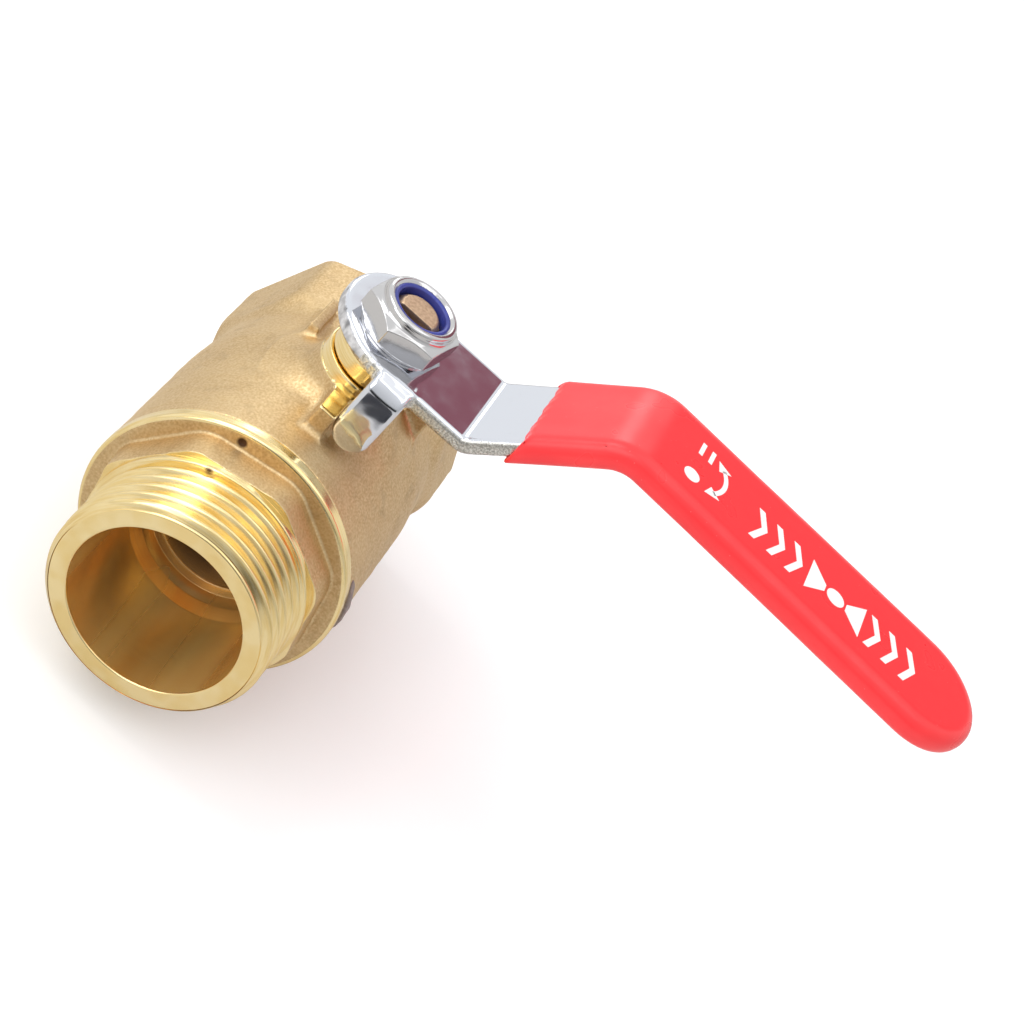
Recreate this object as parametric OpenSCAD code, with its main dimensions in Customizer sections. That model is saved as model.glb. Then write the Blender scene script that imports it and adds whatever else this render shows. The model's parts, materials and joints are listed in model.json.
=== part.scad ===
// Brass ball valve, G 1 male by female, with a cranked lever.
// The origin is the centre of the male end face. +X points out of the male end,
// +Y along the lever when the valve is closed, and +Z up the stem.

/* [Ends] */
// Major diameter of the G 1 male thread
male_thread_d = 33.25; // [33.1:0.05:33.3]
// Length of the male thread, without its lead chamfer
male_thread_len = 11; // [10.5:0.1:11.2]
// Diameter of the hole through the male spigot
male_bore_d = 25.8; // [25:0.1:26.4]
// Minor diameter of the G 1 female thread
female_thread_d = 30.3; // [30.2:0.05:30.8]
// Depth of the female thread
female_thread_len = 14; // [13:0.1:14.2]
// Diameter of the flow passage through the seats and the ball
passage_d = 20; // [18:0.5:20]

/* [Body] */
// Distance from the ball centre to the male end face
male_face_x = 40; // [40:0.1:40.4]
// Distance from the ball centre to the female end face
female_face_x = 31; // [31:0.1:32]
// Outside diameter of the barrel
barrel_d = 40.6; // [40.2:0.1:41]
// Across flats of the female end's octagon
female_octagon_af = 39.5; // [39:0.1:40]
// Across flats of the male end's octagon
male_octagon_af = 34.7; // [34.4:0.1:35]
// Angle of the male end's octagon about the flow axis
male_octagon_turn = 34; // [0:1:45]
// Outside diameter of the machined stem boss
boss_d = 14.4; // [14.2:0.1:15]
// Height of the stem boss's top above the flow axis
boss_top_z = 26.6; // [26.5:0.1:26.8]

/* [Ball and stem] */
// Diameter of the ball
ball_d = 30; // [29.8:0.1:30]
// Diameter of the stem's journal
stem_d = 9; // [8.8:0.05:9]
// Radial running clearance round the stem
stem_clearance = 0.05; // [0.03:0.01:0.08]
// Diameter of the stem's threaded end
stem_thread_d = 8; // [7.9:0.05:8]
// Height of the stem's end above the flow axis
stem_top_z = 38.4; // [37.8:0.1:38.4]

/* [Lever] */
// Thickness of the lever's steel
lever_t = 2.5; // [2.4:0.1:2.5]
// Width of the lever beside the hub
lever_w = 18.8; // [18:0.1:19.2]
// Height of the lever's underside above the flow axis
lever_z = 30.9; // [30.8:0.1:31]
// Radius of the lever's hub end
hub_r = 11.8; // [11.5:0.1:12]
// Distance from the stem to the first bend
bend_y = 15.5; // [15:0.1:16]
// Angle of the cranked stretch
crank_angle = 44; // [42:0.5:46]
// Straight length of the cranked stretch
crank_len = 19.5; // [18:0.1:20]
// Fall of the grip towards its tip
grip_fall = 1.6; // [0:0.1:2]
// Distance from the stem to the sleeve's tip
grip_tip_y = 96.4; // [92:0.1:100]
// Thickness of the dipped sleeve
sleeve_t = 1.05; // [0.9:0.05:1.2]

/* [Lock nut] */
// Across flats of the lock nut
nut_af = 13; // [12.9:0.05:13]
// Overall height of the lock nut
nut_h = 5.9; // [5.8:0.1:6.2]

/* [Hidden] */
$fn = 64;

eps = 0.01;
joint_x = 19.9;

// Valve cavity and seats
ball_r = ball_d / 2;
passage_r = passage_d / 2;
cavity_r = ball_r + 0.6;
seat_r = 14.2;
seat_back_x = 12.5;
seat_contact_r = 11.2;
seat_gap = 0.05;
seat_pocket_x = 8;
plug_r = 17.2;
plug_x = 10.5;
shoulder_x = 9.5;

// Male spigot
lead_chamfer = 0.6;
rim_r = 17.15;
rim_len = 1.2;
rim_x = male_face_x - lead_chamfer - male_thread_len;
octagon_front_x = rim_x - rim_len;
flange_r = 20.55;
flange_x = 22.3;
bore_step_x = 20.8;
bore_step_r = 11.1;

// Barrel and female end
barrel_r = barrel_d / 2;
neck_r = 19.3;
octagon_rear_x = -15.3;
shoulder_slope = 25;

// Stem boss
boss_r = boss_d / 2;
boss_foot_z = 24.5;
collar_r = 6.4;
collar_z = 15.7;
collar_h = 1.3;
washer_h = 0.8;
washer_z = collar_z + collar_h + 0.04;
packing_r = 6;
packing_z = 20.6;
packing_h = 1.2;
follower_h = 0.8;
follower_z = packing_z + 3 * packing_h;
gland_z = follower_z + follower_h;
gland_head_z = boss_top_z + 0.2;
gland_head_h = 3.2;
gland_head_r = 6.9;
gland_flats = 12;
gland_turn = 60;

// Stem drive
stem_r = stem_d / 2;
stem_hole_r = stem_r + stem_clearance;
thread_r = stem_thread_d / 2;
flat_x = 2.65;
blade_w = 4.2;
blade_len = 9;
blade_z = 11.9;
slot_gap = 0.1;
groove_r = 3.05;
groove_h = 1.7;
o_ring_z = 19.2;
o_ring_section_r = 0.73;
o_ring_r = groove_r + 0.02 + o_ring_section_r;

// Stop lugs and the lever's tab
lug_top_z = boss_foot_z;
tab_x = 9.8;
tab_y = [1.2, 7];
tab_bottom_z = 20.9;
stop_gap = 0.1;
tab_bend_r = 0.9;

// Lever profile: the bends' centres and the grip's direction
bend1_r = 1.2;
bend2_r = 6;
lever_top_z = lever_z + lever_t;
bend1_c = [bend_y, lever_top_z + bend1_r];
bend_span = bend1_r + lever_t + bend2_r;
bend2_c = bend1_c + bend_span * [sin(crank_angle), -cos(crank_angle)]
    + crank_len * [cos(crank_angle), sin(crank_angle)];
bend_steps = 8;
waist_w = 17.4;
grip_w = 18.2;
waist_y = 32;
grip_end_y = 86;
hub_back_y = -12;
sleeve_y = 21.9;

// Lock nut
nut_z = lever_top_z;
nut_top_z = nut_z + nut_h;
nut_hex_h = 4.2;
nut_collar_r = 5.7;
insert_z = 36.9;
insert_r = 5.2;
lip_r = 4.5;
lip_h = 0.4;

// A point on an arc in the lever's side view
function arc(c, r, a0, a1) =
    [for (i = [0 : bend_steps]) let (a = a0 + (a1 - a0) * i / bend_steps) c + r * [cos(a), sin(a)]];

// A point of the grip's surface, s away from the second bend's centre, at distance y
function grip_point(s, y) =
    let (p = bend2_c + s * [sin(grip_fall), cos(grip_fall)])
    [y, p[1] - (y - p[0]) * tan(grip_fall)];

// Side view of the lever's plate from y0 to y1, thickened by grow on both faces
function lever_side(grow, y1) = concat(
    [[hub_back_y, lever_z - grow]],
    arc(bend1_c, bend1_r + lever_t + grow, -90, crank_angle - 90),
    arc(bend2_c, bend2_r - grow, 90 + crank_angle, 90 - grip_fall),
    [grip_point(bend2_r - grow, y1), grip_point(bend2_r + lever_t + grow, y1)],
    arc(bend2_c, bend2_r + lever_t + grow, 90 - grip_fall, 90 + crank_angle),
    arc(bend1_c, bend1_r - grow, crank_angle - 90, -90),
    [[hub_back_y, lever_top_z + grow]]
);

// Half of the plan outline, from the hub to the rounded tip
function lever_plan(grow, tip_y) = [
    [lever_w / 2 + grow, 0],
    [lever_w / 2 + grow, bend_y],
    [waist_w / 2 + grow, waist_y],
    for (i = [0 : 12]) [
        (grip_w / 2 + grow) * cos(i * 7.5),
        grip_end_y + (tip_y - grip_end_y) * sin(i * 7.5)
    ]
];

// Everything is drawn about the ball's centre and moved into the row frame here
module in_frame() {
    translate([-male_face_x, 0, 0]) children();
}

module along_x(x) {
    translate([x, 0, 0]) rotate([0, 90, 0]) children();
}

module cyl_x(r, x0, x1) {
    along_x(x0) cylinder(r = r, h = x1 - x0);
}

module cone_x(r0, r1, x0, x1) {
    along_x(x0) cylinder(r1 = r0, r2 = r1, h = x1 - x0);
}

module cyl_z(r, z0, z1) {
    translate([0, 0, z0]) cylinder(r = r, h = z1 - z0);
}

module ring_z(r_in, r_out, z0, z1) {
    difference() {
        cyl_z(r_out, z0, z1);
        cyl_z(r_in, z0 - 1, z1 + 1);
    }
}

// Octagonal prism along the flow axis, with its end corners turned down
module octagon_x(af, x0, x1, turn, chamfer) {
    corner_r = af / 2 / cos(22.5);
    intersection() {
        along_x(x0) rotate([0, 0, turn]) cylinder(r = corner_r, h = x1 - x0, $fn = 8);
        union() {
            cone_x(corner_r - chamfer, corner_r, x0, x0 + chamfer);
            cyl_x(corner_r, x0 + chamfer, x1 - chamfer);
            cone_x(corner_r, corner_r - chamfer, x1 - chamfer, x1);
        }
    }
}

// Cast post with a drafted front and a flat machined top
module stop_lug(x_back, x_front, draft, y0, y1) {
    foot_z = 16;
    translate([0, y1, 0]) rotate([90, 0, 0]) linear_extrude(y1 - y0)
        polygon([[x_back, foot_z], [x_front + draft, foot_z], [x_front, lug_top_z], [x_back, lug_top_z]]);
}

// Octagon of the female end, whose front slopes up from the neck
module female_octagon() {
    shoulder_r = neck_r + (female_face_x + octagon_rear_x) * tan(shoulder_slope);
    intersection() {
        octagon_x(female_octagon_af, -female_face_x, octagon_rear_x, 0, 1);
        cone_x(shoulder_r, neck_r, -female_face_x, octagon_rear_x);
    }
}

module body_outside() {
    cyl_x(barrel_r, -6, joint_x);
    cone_x(neck_r, barrel_r, -12, -6);
    cyl_x(neck_r, octagon_rear_x - 1, -12);
    female_octagon();
    translate([0, 0, 17]) cylinder(r1 = 12.6, r2 = 9.6, h = 3.5);
    translate([0, 0, 20.5]) cylinder(r1 = 9.6, r2 = boss_r, h = boss_foot_z - 20.5);
    cyl_z(boss_r, 17, boss_top_z);
    stop_lug(6, 13.4, 1.8, -1.7, tab_y[0] - stop_gap);
    stop_lug(-10, -tab_y[1] - stop_gap, 0, 8.2, 12);
    translate([-15.5, -10.5, 14]) cube([9, 1.6, 6.2]);
}

module valve_body() {
    color("tan") in_frame() difference() {
        body_outside();
        cyl_x(plug_r + 0.1, shoulder_x, joint_x + 1);
        cyl_x(cavity_r, -seat_pocket_x, shoulder_x + eps);
        cyl_x(seat_r + 0.05, -seat_back_x, 0);
        cyl_x(passage_r, -female_face_x, 0);
        cyl_x(female_thread_d / 2, -female_face_x - 1, female_thread_len - female_face_x);
        cone_x(female_thread_d / 2, passage_r, female_thread_len - female_face_x - eps,
            female_thread_len - female_face_x + 2);
        cone_x(female_thread_d / 2 + 1.4, female_thread_d / 2, -female_face_x - eps, 1.2 - female_face_x);
        cyl_z(collar_r + 0.2, 12, washer_z + washer_h);
        cyl_z(stem_hole_r, 12, packing_z + eps);
        cyl_z(packing_r, packing_z, boss_top_z + 1);
    }
}

module end_connector() {
    thread_r0 = male_thread_d / 2;
    color("goldenrod") in_frame() difference() {
        union() {
            cyl_x(cavity_r - 0.1, seat_pocket_x + 0.2, joint_x);
            cyl_x(plug_r, plug_x, joint_x);
            cyl_x(flange_r, joint_x + 0.05, flange_x - 0.5);
            cone_x(flange_r, flange_r - 0.5, flange_x - 0.5, flange_x);
            octagon_x(male_octagon_af, joint_x + 0.05, octagon_front_x, male_octagon_turn, 0.6);
            cyl_x(rim_r, joint_x, rim_x);
            cyl_x(thread_r0, joint_x, male_face_x - lead_chamfer);
            cone_x(thread_r0, thread_r0 - 1, male_face_x - lead_chamfer, male_face_x);
        }
        cyl_x(seat_r + 0.05, 0, seat_back_x);
        cyl_x(passage_r, 0, male_face_x);
        cyl_x(bore_step_r, seat_back_x + 4.5, male_face_x);
        cone_x(bore_step_r, male_bore_d / 2, bore_step_x - 1, bore_step_x);
        cyl_x(male_bore_d / 2, bore_step_x, male_face_x + 1);
    }
}

// Seat ring whose cone touches the ball along one circle
module seat_ring() {
    contact_x = sqrt(ball_r * ball_r - seat_contact_r * seat_contact_r) + seat_gap;
    slope = seat_contact_r / (contact_x - seat_gap);
    lip_outer_r = 12.6;
    inner_r = passage_r + 0.1;
    along_x(0) rotate_extrude() polygon([
        [inner_r, seat_back_x],
        [inner_r, contact_x + slope * (seat_contact_r - inner_r)],
        [lip_outer_r, contact_x - slope * (lip_outer_r - seat_contact_r)],
        [seat_r, contact_x - slope * (lip_outer_r - seat_contact_r)],
        [seat_r, seat_back_x]
    ]);
}

module seat_ring_front() {
    color("white") in_frame() seat_ring();
}

module seat_ring_rear() {
    color("white") in_frame() mirror([1, 0, 0]) seat_ring();
}

module body_joint_seal() {
    color("ivory") in_frame() difference() {
        cyl_x(plug_r, shoulder_x, plug_x);
        cyl_x(cavity_r, 0, plug_x + 1);
    }
}

// Thread sealant squeezed out of the body joint, smeared on the barrel's rim on the lever's side
module sealant_bead() {
    bead_start = 3;
    bead_sweep = 26;
    bead_w = 1.6;
    bead_h = 0.45;
    bead_r = barrel_r + 0.02;
    color("saddlebrown") in_frame() along_x(0) rotate([0, 0, 90 + bead_start])
        rotate_extrude(angle = bead_sweep) polygon([
            [bead_r, joint_x - bead_w],
            [bead_r, joint_x],
            [bead_r + bead_h, joint_x - bead_w * 0.2],
            [bead_r + bead_h, joint_x - bead_w * 0.6]
        ]);
}

module ball() {
    slot_w = blade_w + 2 * slot_gap;
    slot_len = blade_len + 1.2;
    color("silver") in_frame() difference() {
        sphere(r = ball_r);
        rotate([90, 0, 0]) cylinder(r = passage_r, h = ball_d + 2, center = true);
        translate([-slot_len / 2, -slot_w / 2, blade_z - 0.3]) cube([slot_len, slot_w, 10]);
    }
}

module stem() {
    color("darkgoldenrod") in_frame() difference() {
        union() {
            translate([-blade_len / 2, -blade_w / 2, blade_z]) cube([blade_len, blade_w, collar_z - blade_z + eps]);
            cyl_z(collar_r, collar_z, collar_z + collar_h);
            cyl_z(stem_r, collar_z, lever_z);
            cyl_z(thread_r, lever_z - 1, stem_top_z - 0.5);
            translate([0, 0, stem_top_z - 0.5]) cylinder(r1 = thread_r, r2 = thread_r - 0.5, h = 0.5);
        }
        translate([flat_x, -10, lever_z]) cube([10, 20, 20]);
        ring_z(groove_r, stem_r + 1, o_ring_z - groove_h / 2, o_ring_z + groove_h / 2);
    }
}

module thrust_washer() {
    color("white") in_frame() ring_z(stem_r + 0.15, collar_r + 0.1, washer_z, washer_z + washer_h);
}

module stem_o_ring() {
    color("dimgray") in_frame() translate([0, 0, o_ring_z]) rotate_extrude()
        translate([o_ring_r, 0]) circle(r = o_ring_section_r, $fn = 32);
}

module packing_ring(n) {
    z0 = packing_z + n * packing_h;
    ring_z(stem_hole_r, packing_r, z0, z0 + packing_h);
}

module packing_ring_lower() {
    color("white") in_frame() packing_ring(0);
}

module packing_ring_middle() {
    color("white") in_frame() packing_ring(1);
}

module packing_ring_upper() {
    color("white") in_frame() packing_ring(2);
}

module gland_follower() {
    color("gold") in_frame() ring_z(stem_hole_r, packing_r - 0.05, follower_z, follower_z + follower_h);
}

// Round gland nut with two spanner flats on its head
module gland_nut() {
    head_top = gland_head_z + gland_head_h;
    color("gold") in_frame() difference() {
        union() {
            cyl_z(packing_r - 0.02, gland_z, gland_head_z + eps);
            intersection() {
                rotate([0, 0, gland_turn]) translate([-gland_flats / 2, -10, gland_head_z])
                    cube([gland_flats, 20, gland_head_h]);
                union() {
                    cyl_z(gland_head_r, gland_head_z, head_top - 0.4);
                    translate([0, 0, head_top - 0.4]) cylinder(r1 = gland_head_r, r2 = gland_head_r - 0.4, h = 0.4);
                }
            }
        }
        cyl_z(stem_hole_r, gland_z - 1, head_top + 1);
    }
}

// Hub end of the blank: most of a disc off centre, squared off away from the tab
module lever_hub() {
    intersection() {
        translate([-2.25, 1.85, 0]) cylinder(r = hub_r, h = 70);
        linear_extrude(70) polygon([[-11.6, -20], [20, -20], [20, 2], [-9.4, 5], [-11.6, 2.8]]);
    }
}

// Plate bent twice in its side view and cut to its plan outline
module lever_blank(grow, tip_y) {
    half = lever_plan(grow, tip_y);
    n = len(half);
    outline = concat(half, [for (i = [0 : n - 1]) [-half[n - 1 - i][0], half[n - 1 - i][1]]]);
    intersection() {
        rotate([90, 0, 90]) linear_extrude(40, center = true) polygon(lever_side(grow, tip_y + 1));
        union() {
            linear_extrude(70) polygon(outline);
            lever_hub();
        }
    }
}

// Stop tab folded down from the hub's edge
module lever_tab() {
    w = tab_y[1] - tab_y[0];
    mid = (tab_y[0] + tab_y[1]) / 2;
    fold = [tab_x - tab_bend_r, lever_z - tab_bend_r];
    intersection() {
        translate([fold[0], tab_y[1], fold[1]]) rotate([90, 0, 0]) difference() {
            cylinder(r = tab_bend_r + lever_t, h = w);
            translate([0, 0, -1]) cylinder(r = tab_bend_r, h = w + 2);
        }
        translate([fold[0], tab_y[0], fold[1]]) cube([10, w, 10]);
    }
    translate([tab_x, mid, tab_bottom_z + w / 2]) rotate([0, 90, 0]) cylinder(r = w / 2, h = lever_t);
    translate([tab_x, tab_y[0], tab_bottom_z + w / 2]) cube([lever_t, w, fold[1] - tab_bottom_z - w / 2]);
    translate([5, tab_y[0], lever_z]) cube([fold[0] - 5, w, lever_t]);
}

module lever() {
    color("lightsteelblue") in_frame() difference() {
        union() {
            lever_blank(0, grip_tip_y - sleeve_t);
            lever_tab();
        }
        difference() {
            cyl_z(thread_r + 0.1, lever_z - 1, lever_top_z + 1);
            translate([flat_x + 0.1, -10, lever_z - 2]) cube([10, 20, 20]);
        }
    }
}

module grip_sleeve() {
    color("red") in_frame() difference() {
        intersection() {
            lever_blank(sleeve_t, grip_tip_y);
            translate([-30, sleeve_y, 0]) cube([60, 100, 80]);
        }
        lever_blank(0, grip_tip_y - sleeve_t);
    }
}

module lock_nut() {
    hex_r = nut_af / 2 / cos(30);
    color("gainsboro") in_frame() difference() {
        union() {
            intersection() {
                cyl_z(hex_r, nut_z, nut_z + nut_hex_h, $fn = 6);
                union() {
                    translate([0, 0, nut_z]) cylinder(r1 = 6.2, r2 = hex_r, h = 0.8);
                    cyl_z(hex_r, nut_z + 0.8, nut_z + nut_hex_h - 1);
                    translate([0, 0, nut_z + nut_hex_h - 1]) cylinder(r1 = hex_r, r2 = 6.2, h = 1);
                }
            }
            cyl_z(nut_collar_r, nut_z + 1, nut_top_z - 0.5);
            translate([0, 0, nut_top_z - 0.5]) cylinder(r1 = nut_collar_r, r2 = nut_collar_r - 0.5, h = 0.5);
        }
        cyl_z(thread_r + 0.02, nut_z - 1, nut_top_z + 1);
        cyl_z(insert_r, insert_z, nut_top_z - lip_h);
        cyl_z(lip_r, insert_z, nut_top_z + 1);
    }
}

module nylon_insert() {
    color("royalblue") in_frame() ring_z(thread_r + 0.01, insert_r, insert_z, nut_top_z - lip_h);
}

valve_body();
end_connector();
ball();
seat_ring_front();
seat_ring_rear();
body_joint_seal();
sealant_bead();
stem();
thrust_washer();
stem_o_ring();
packing_ring_lower();
packing_ring_middle();
packing_ring_upper();
gland_follower();
gland_nut();
lever();
grip_sleeve();
lock_nut();
nylon_insert();
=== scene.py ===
import json
import math
from functools import reduce

import bpy
import numpy as np
from mathutils import Matrix, Vector


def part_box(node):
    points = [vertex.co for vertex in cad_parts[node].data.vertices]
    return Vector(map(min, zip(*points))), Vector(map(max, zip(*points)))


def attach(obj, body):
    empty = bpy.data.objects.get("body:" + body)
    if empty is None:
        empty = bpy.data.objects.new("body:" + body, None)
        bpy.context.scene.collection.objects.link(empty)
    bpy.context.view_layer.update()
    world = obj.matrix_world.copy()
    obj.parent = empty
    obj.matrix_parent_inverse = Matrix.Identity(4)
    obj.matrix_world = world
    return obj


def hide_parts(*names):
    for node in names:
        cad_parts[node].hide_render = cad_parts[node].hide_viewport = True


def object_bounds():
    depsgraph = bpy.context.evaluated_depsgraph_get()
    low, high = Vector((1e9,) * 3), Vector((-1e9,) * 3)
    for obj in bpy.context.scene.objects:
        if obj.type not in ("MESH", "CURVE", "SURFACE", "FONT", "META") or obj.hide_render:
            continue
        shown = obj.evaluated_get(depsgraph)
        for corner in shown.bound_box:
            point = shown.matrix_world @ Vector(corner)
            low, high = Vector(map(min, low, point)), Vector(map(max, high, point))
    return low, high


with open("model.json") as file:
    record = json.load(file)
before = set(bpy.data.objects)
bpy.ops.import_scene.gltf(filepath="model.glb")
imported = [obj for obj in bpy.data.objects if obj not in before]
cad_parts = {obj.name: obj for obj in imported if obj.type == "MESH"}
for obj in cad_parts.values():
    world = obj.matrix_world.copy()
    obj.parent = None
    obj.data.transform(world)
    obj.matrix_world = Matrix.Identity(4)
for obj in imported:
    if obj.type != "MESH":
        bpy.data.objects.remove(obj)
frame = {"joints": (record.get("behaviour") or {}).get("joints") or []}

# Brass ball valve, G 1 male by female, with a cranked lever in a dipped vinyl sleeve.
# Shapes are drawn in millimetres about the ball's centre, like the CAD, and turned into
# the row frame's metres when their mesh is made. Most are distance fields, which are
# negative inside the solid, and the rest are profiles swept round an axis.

MM = 0.001
cad_low, cad_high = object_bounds()
CENTRE = np.array(frame["joints"][0]["pos_m"]) / MM


def span(node):
    """Lowest and highest corner of a CAD node, in millimetres about the ball's centre."""
    low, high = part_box(node)
    return np.array(low) / MM - CENTRE, np.array(high) / MM - CENTRE


# ---- dimensions

body_low, body_high = span("valve_body")
nut_low, nut_high = span("lock_nut")
stem_low, stem_high = span("stem")
lever_low, lever_high = span("lever")
sleeve_low, sleeve_high = span("grip_sleeve")
insert_low, insert_high = span("nylon_insert")

SLACK = 0.015  # keeps the visual model inside the CAD box
MALE_FACE = span("end_connector")[1][0] - SLACK
FEMALE_FACE = body_low[0] + SLACK
JOINT_X = body_high[0]
THREAD_R = 16.62
PITCH = 2.309
THREAD_DEPTH = 0.64  # of a 55 degree thread, in pitches
BORE_R = 12.9
PASSAGE_R = 10.0
PLUG_R = 17.2

LEVER_T = 2.5
LEVER_TOP = nut_low[2]
LEVER_MID = LEVER_TOP - LEVER_T / 2
CRANK = math.radians(44)
CRANK_LENGTH = 19.5
FALL = math.radians(1.6)
BEND1_INNER = 1.2
BEND1 = np.array([15.5, LEVER_TOP + BEND1_INNER])
BEND1_R = BEND1_INNER + LEVER_T / 2
BEND2_R = 6 + LEVER_T / 2
CRANK_DIR = np.array([math.cos(CRANK), math.sin(CRANK)])
CRANK_UP = np.array([-math.sin(CRANK), math.cos(CRANK)])
GRIP_DIR = np.array([math.cos(FALL), -math.sin(FALL)])
GRIP_UP = np.array([math.sin(FALL), math.cos(FALL)])
BEND2 = BEND1 - CRANK_UP * (BEND1_R + BEND2_R) + CRANK_DIR * CRANK_LENGTH
SLEEVE_T = 1.05 - SLACK
SLEEVE_START = sleeve_low[1]
GRIP_TIP = sleeve_high[1] - SLACK


# ---- distance fields

def blend_max(a, b, k):
    """Intersection of two fields with a rounded edge about k wide."""
    h = np.maximum(k - np.abs(a - b), 0)
    return np.maximum(a, b) + h * h / (4 * k)


def blend_min(a, b, k):
    """Union of two fields with a fillet about k wide."""
    return -blend_max(-a, -b, k)


def between(v, low, high):
    """Field of a slab."""
    return np.abs(v - (low + high) / 2) - (high - low) / 2


def ease(v, v0, v1):
    """Smooth step from 0 at v0 to 1 at v1."""
    t = np.clip((v - v0) / (v1 - v0), 0, 1)
    return t * t * (3 - 2 * t)


def polygon_field(u, v, across_flats, sides, turn, k):
    """Regular polygon in the u, v plane with a corner at angle turn and soft corners."""
    step = 2 * math.pi / sides
    from_flat = (np.arctan2(v, u) - turn) % step - step / 2
    r = np.hypot(u, v)
    near = r * np.cos(from_flat)
    next_one = r * np.cos(step - np.abs(from_flat))
    return blend_max(near, next_one, k) - across_flats / 2


def ripple(x, y, z, wavelength, seed):
    """Smooth unevenness between about -1 and 1."""
    source = np.random.RandomState(seed)
    total = 0
    for _ in range(7):
        way = source.normal(size=3)
        way *= 2 * math.pi / (wavelength * source.uniform(0.7, 1.5) * np.linalg.norm(way))
        total = total + np.sin(way[0] * x + way[1] * y + way[2] * z + source.uniform(0, 2 * math.pi))
    return total / 3.5


def thread_radius(x, theta, crest_r, pitch, sign):
    """Radius of a rounded 55 degree screw thread. sign is 1 outside and -1 in a hole."""
    turn = (x / pitch - theta / (2 * math.pi)) % 1
    away = np.abs(2 * turn - 1)
    depth = THREAD_DEPTH * pitch
    overshoot = THREAD_DEPTH / 4
    flank = overshoot * pitch - 1.5 * THREAD_DEPTH * pitch * away
    rounding = 0.3
    below_crest = -blend_max(-flank, 0 * flank, rounding)
    return crest_r + sign * blend_max(below_crest, 0 * flank - depth, rounding)


# ---- meshing

NORMAL_STEP = 0.004


def gradient(field, points):
    """Unit normals of a field at points."""
    parts = []
    for shift in NORMAL_STEP * np.eye(3):
        parts.append(field(*(points + shift).T) - field(*(points - shift).T))
    g = np.stack(parts, 1)
    return g / np.maximum(np.linalg.norm(g, axis=1, keepdims=True), 1e-9)


ROOT_STEPS = 3
CENTRING = 0.03  # pull on a cell's vertex towards the middle of the cell's crossings


def crossings(field, values, low, step, axis):
    """Points where the field changes sign along one axis, with their cells and winding."""
    near, far = [slice(None)] * 3, [slice(None)] * 3
    near[axis], far[axis] = slice(0, -1), slice(1, None)
    a, b = values[tuple(near)], values[tuple(far)]
    hit = (a < 0) != (b < 0)
    index = np.argwhere(hit)
    va, vb = a[hit].copy(), b[hit].copy()
    ta, tb = np.zeros(len(va)), np.ones(len(va))
    points = low + step * index
    base = points[:, axis].copy()
    for _ in range(ROOT_STEPS):
        t = ta + (tb - ta) * np.clip(va / (va - vb), 0.05, 0.95)
        points[:, axis] = base + step * t
        v = field(*points.T)
        same = (v < 0) == (va < 0)
        ta, va = np.where(same, t, ta), np.where(same, v, va)
        tb, vb = np.where(same, tb, t), np.where(same, vb, v)
    points[:, axis] = base + step * (ta + (tb - ta) * va / (va - vb))
    u, w = (axis + 1) % 3, (axis + 2) % 3
    unit = np.eye(3, dtype=int)
    around = [index - du * unit[u] - dw * unit[w] for du, dw in ((0, 0), (1, 0), (1, 1), (0, 1))]
    return points, np.stack(around, 1), a[hit] < 0


def contour(field, low, high, step):
    """Closed quad mesh of a field's surface that keeps its sharp edges (dual contouring)."""
    margin = 1.37  # steps, so that no face of the box lies on the grid
    low = np.array(low, float) - margin * step
    counts = np.ceil((np.array(high) - low) / step).astype(int) + 3
    axes = [low[i] + step * np.arange(counts[i]) for i in range(3)]
    values = np.broadcast_to(field(*np.meshgrid(*axes, indexing="ij", sparse=True)), counts)
    found = [crossings(field, values, low, step, axis) for axis in range(3)]
    points, cells, forward = (np.concatenate(part) for part in zip(*found))
    normals = gradient(field, points)
    flat = np.ravel_multi_index(cells.reshape(-1, 3).T, counts)
    used, quads = np.unique(flat, return_inverse=True)
    quads = quads.reshape(-1, 4)
    n = len(used)

    def gather(v):
        return sum(np.bincount(quads[:, k], v, n) for k in range(4))

    share = gather(np.ones(len(points)))
    middle = np.stack([gather(points[:, i]) for i in range(3)], 1) / share[:, None]
    matrix = np.zeros((n, 3, 3))
    for i in range(3):
        for j in range(3):
            matrix[:, i, j] = gather(normals[:, i] * normals[:, j])
    plane = np.einsum("ij,ij->i", normals, points)
    right = np.stack([gather(normals[:, i] * plane) for i in range(3)], 1)
    right -= np.einsum("nij,nj->ni", matrix, middle)
    matrix += CENTRING * np.eye(3)
    vertices = middle + np.linalg.solve(matrix, right[:, :, None])[:, :, 0]
    corner = low + step * np.stack(np.unravel_index(used, counts), 1)
    vertices = np.clip(vertices, corner, corner + step)
    quads = np.where(forward[:, None], quads, quads[:, ::-1])
    return vertices, quads


def mesh_from(name, vertices, faces):
    """Mesh in row-frame metres. faces is an array of triangles or quads."""
    mesh = bpy.data.meshes.new(name)
    place = ((vertices + CENTRE) * MM).astype(np.float32)
    n, sides = faces.shape
    mesh.vertices.add(len(place))
    mesh.vertices.foreach_set("co", place.ravel())
    mesh.loops.add(n * sides)
    mesh.loops.foreach_set("vertex_index", faces.astype(np.int32).ravel())
    mesh.polygons.add(n)
    mesh.polygons.foreach_set("loop_start", np.arange(0, n * sides, sides, dtype=np.int32))
    mesh.polygons.foreach_set("loop_total", np.full(n, sides, dtype=np.int32))
    mesh.update(calc_edges=True)
    mesh.validate()
    return mesh


def add_piece(mesh, body, node, materials, zone=None):
    """Object for a mesh that stands for a CAD node. zone picks a material for each face."""
    piece = bpy.data.objects.new(mesh.name, mesh)
    bpy.context.scene.collection.objects.link(piece)
    for material in materials:
        mesh.materials.append(material)
    if zone is not None:
        middle = np.zeros(len(mesh.polygons) * 3)
        mesh.polygons.foreach_get("center", middle)
        picked = zone(*(middle.reshape(-1, 3) / MM - CENTRE).T)
        mesh.polygons.foreach_set("material_index", picked.astype(np.int32))
    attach(piece, body)
    if node:
        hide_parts(node)
    return piece


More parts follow.
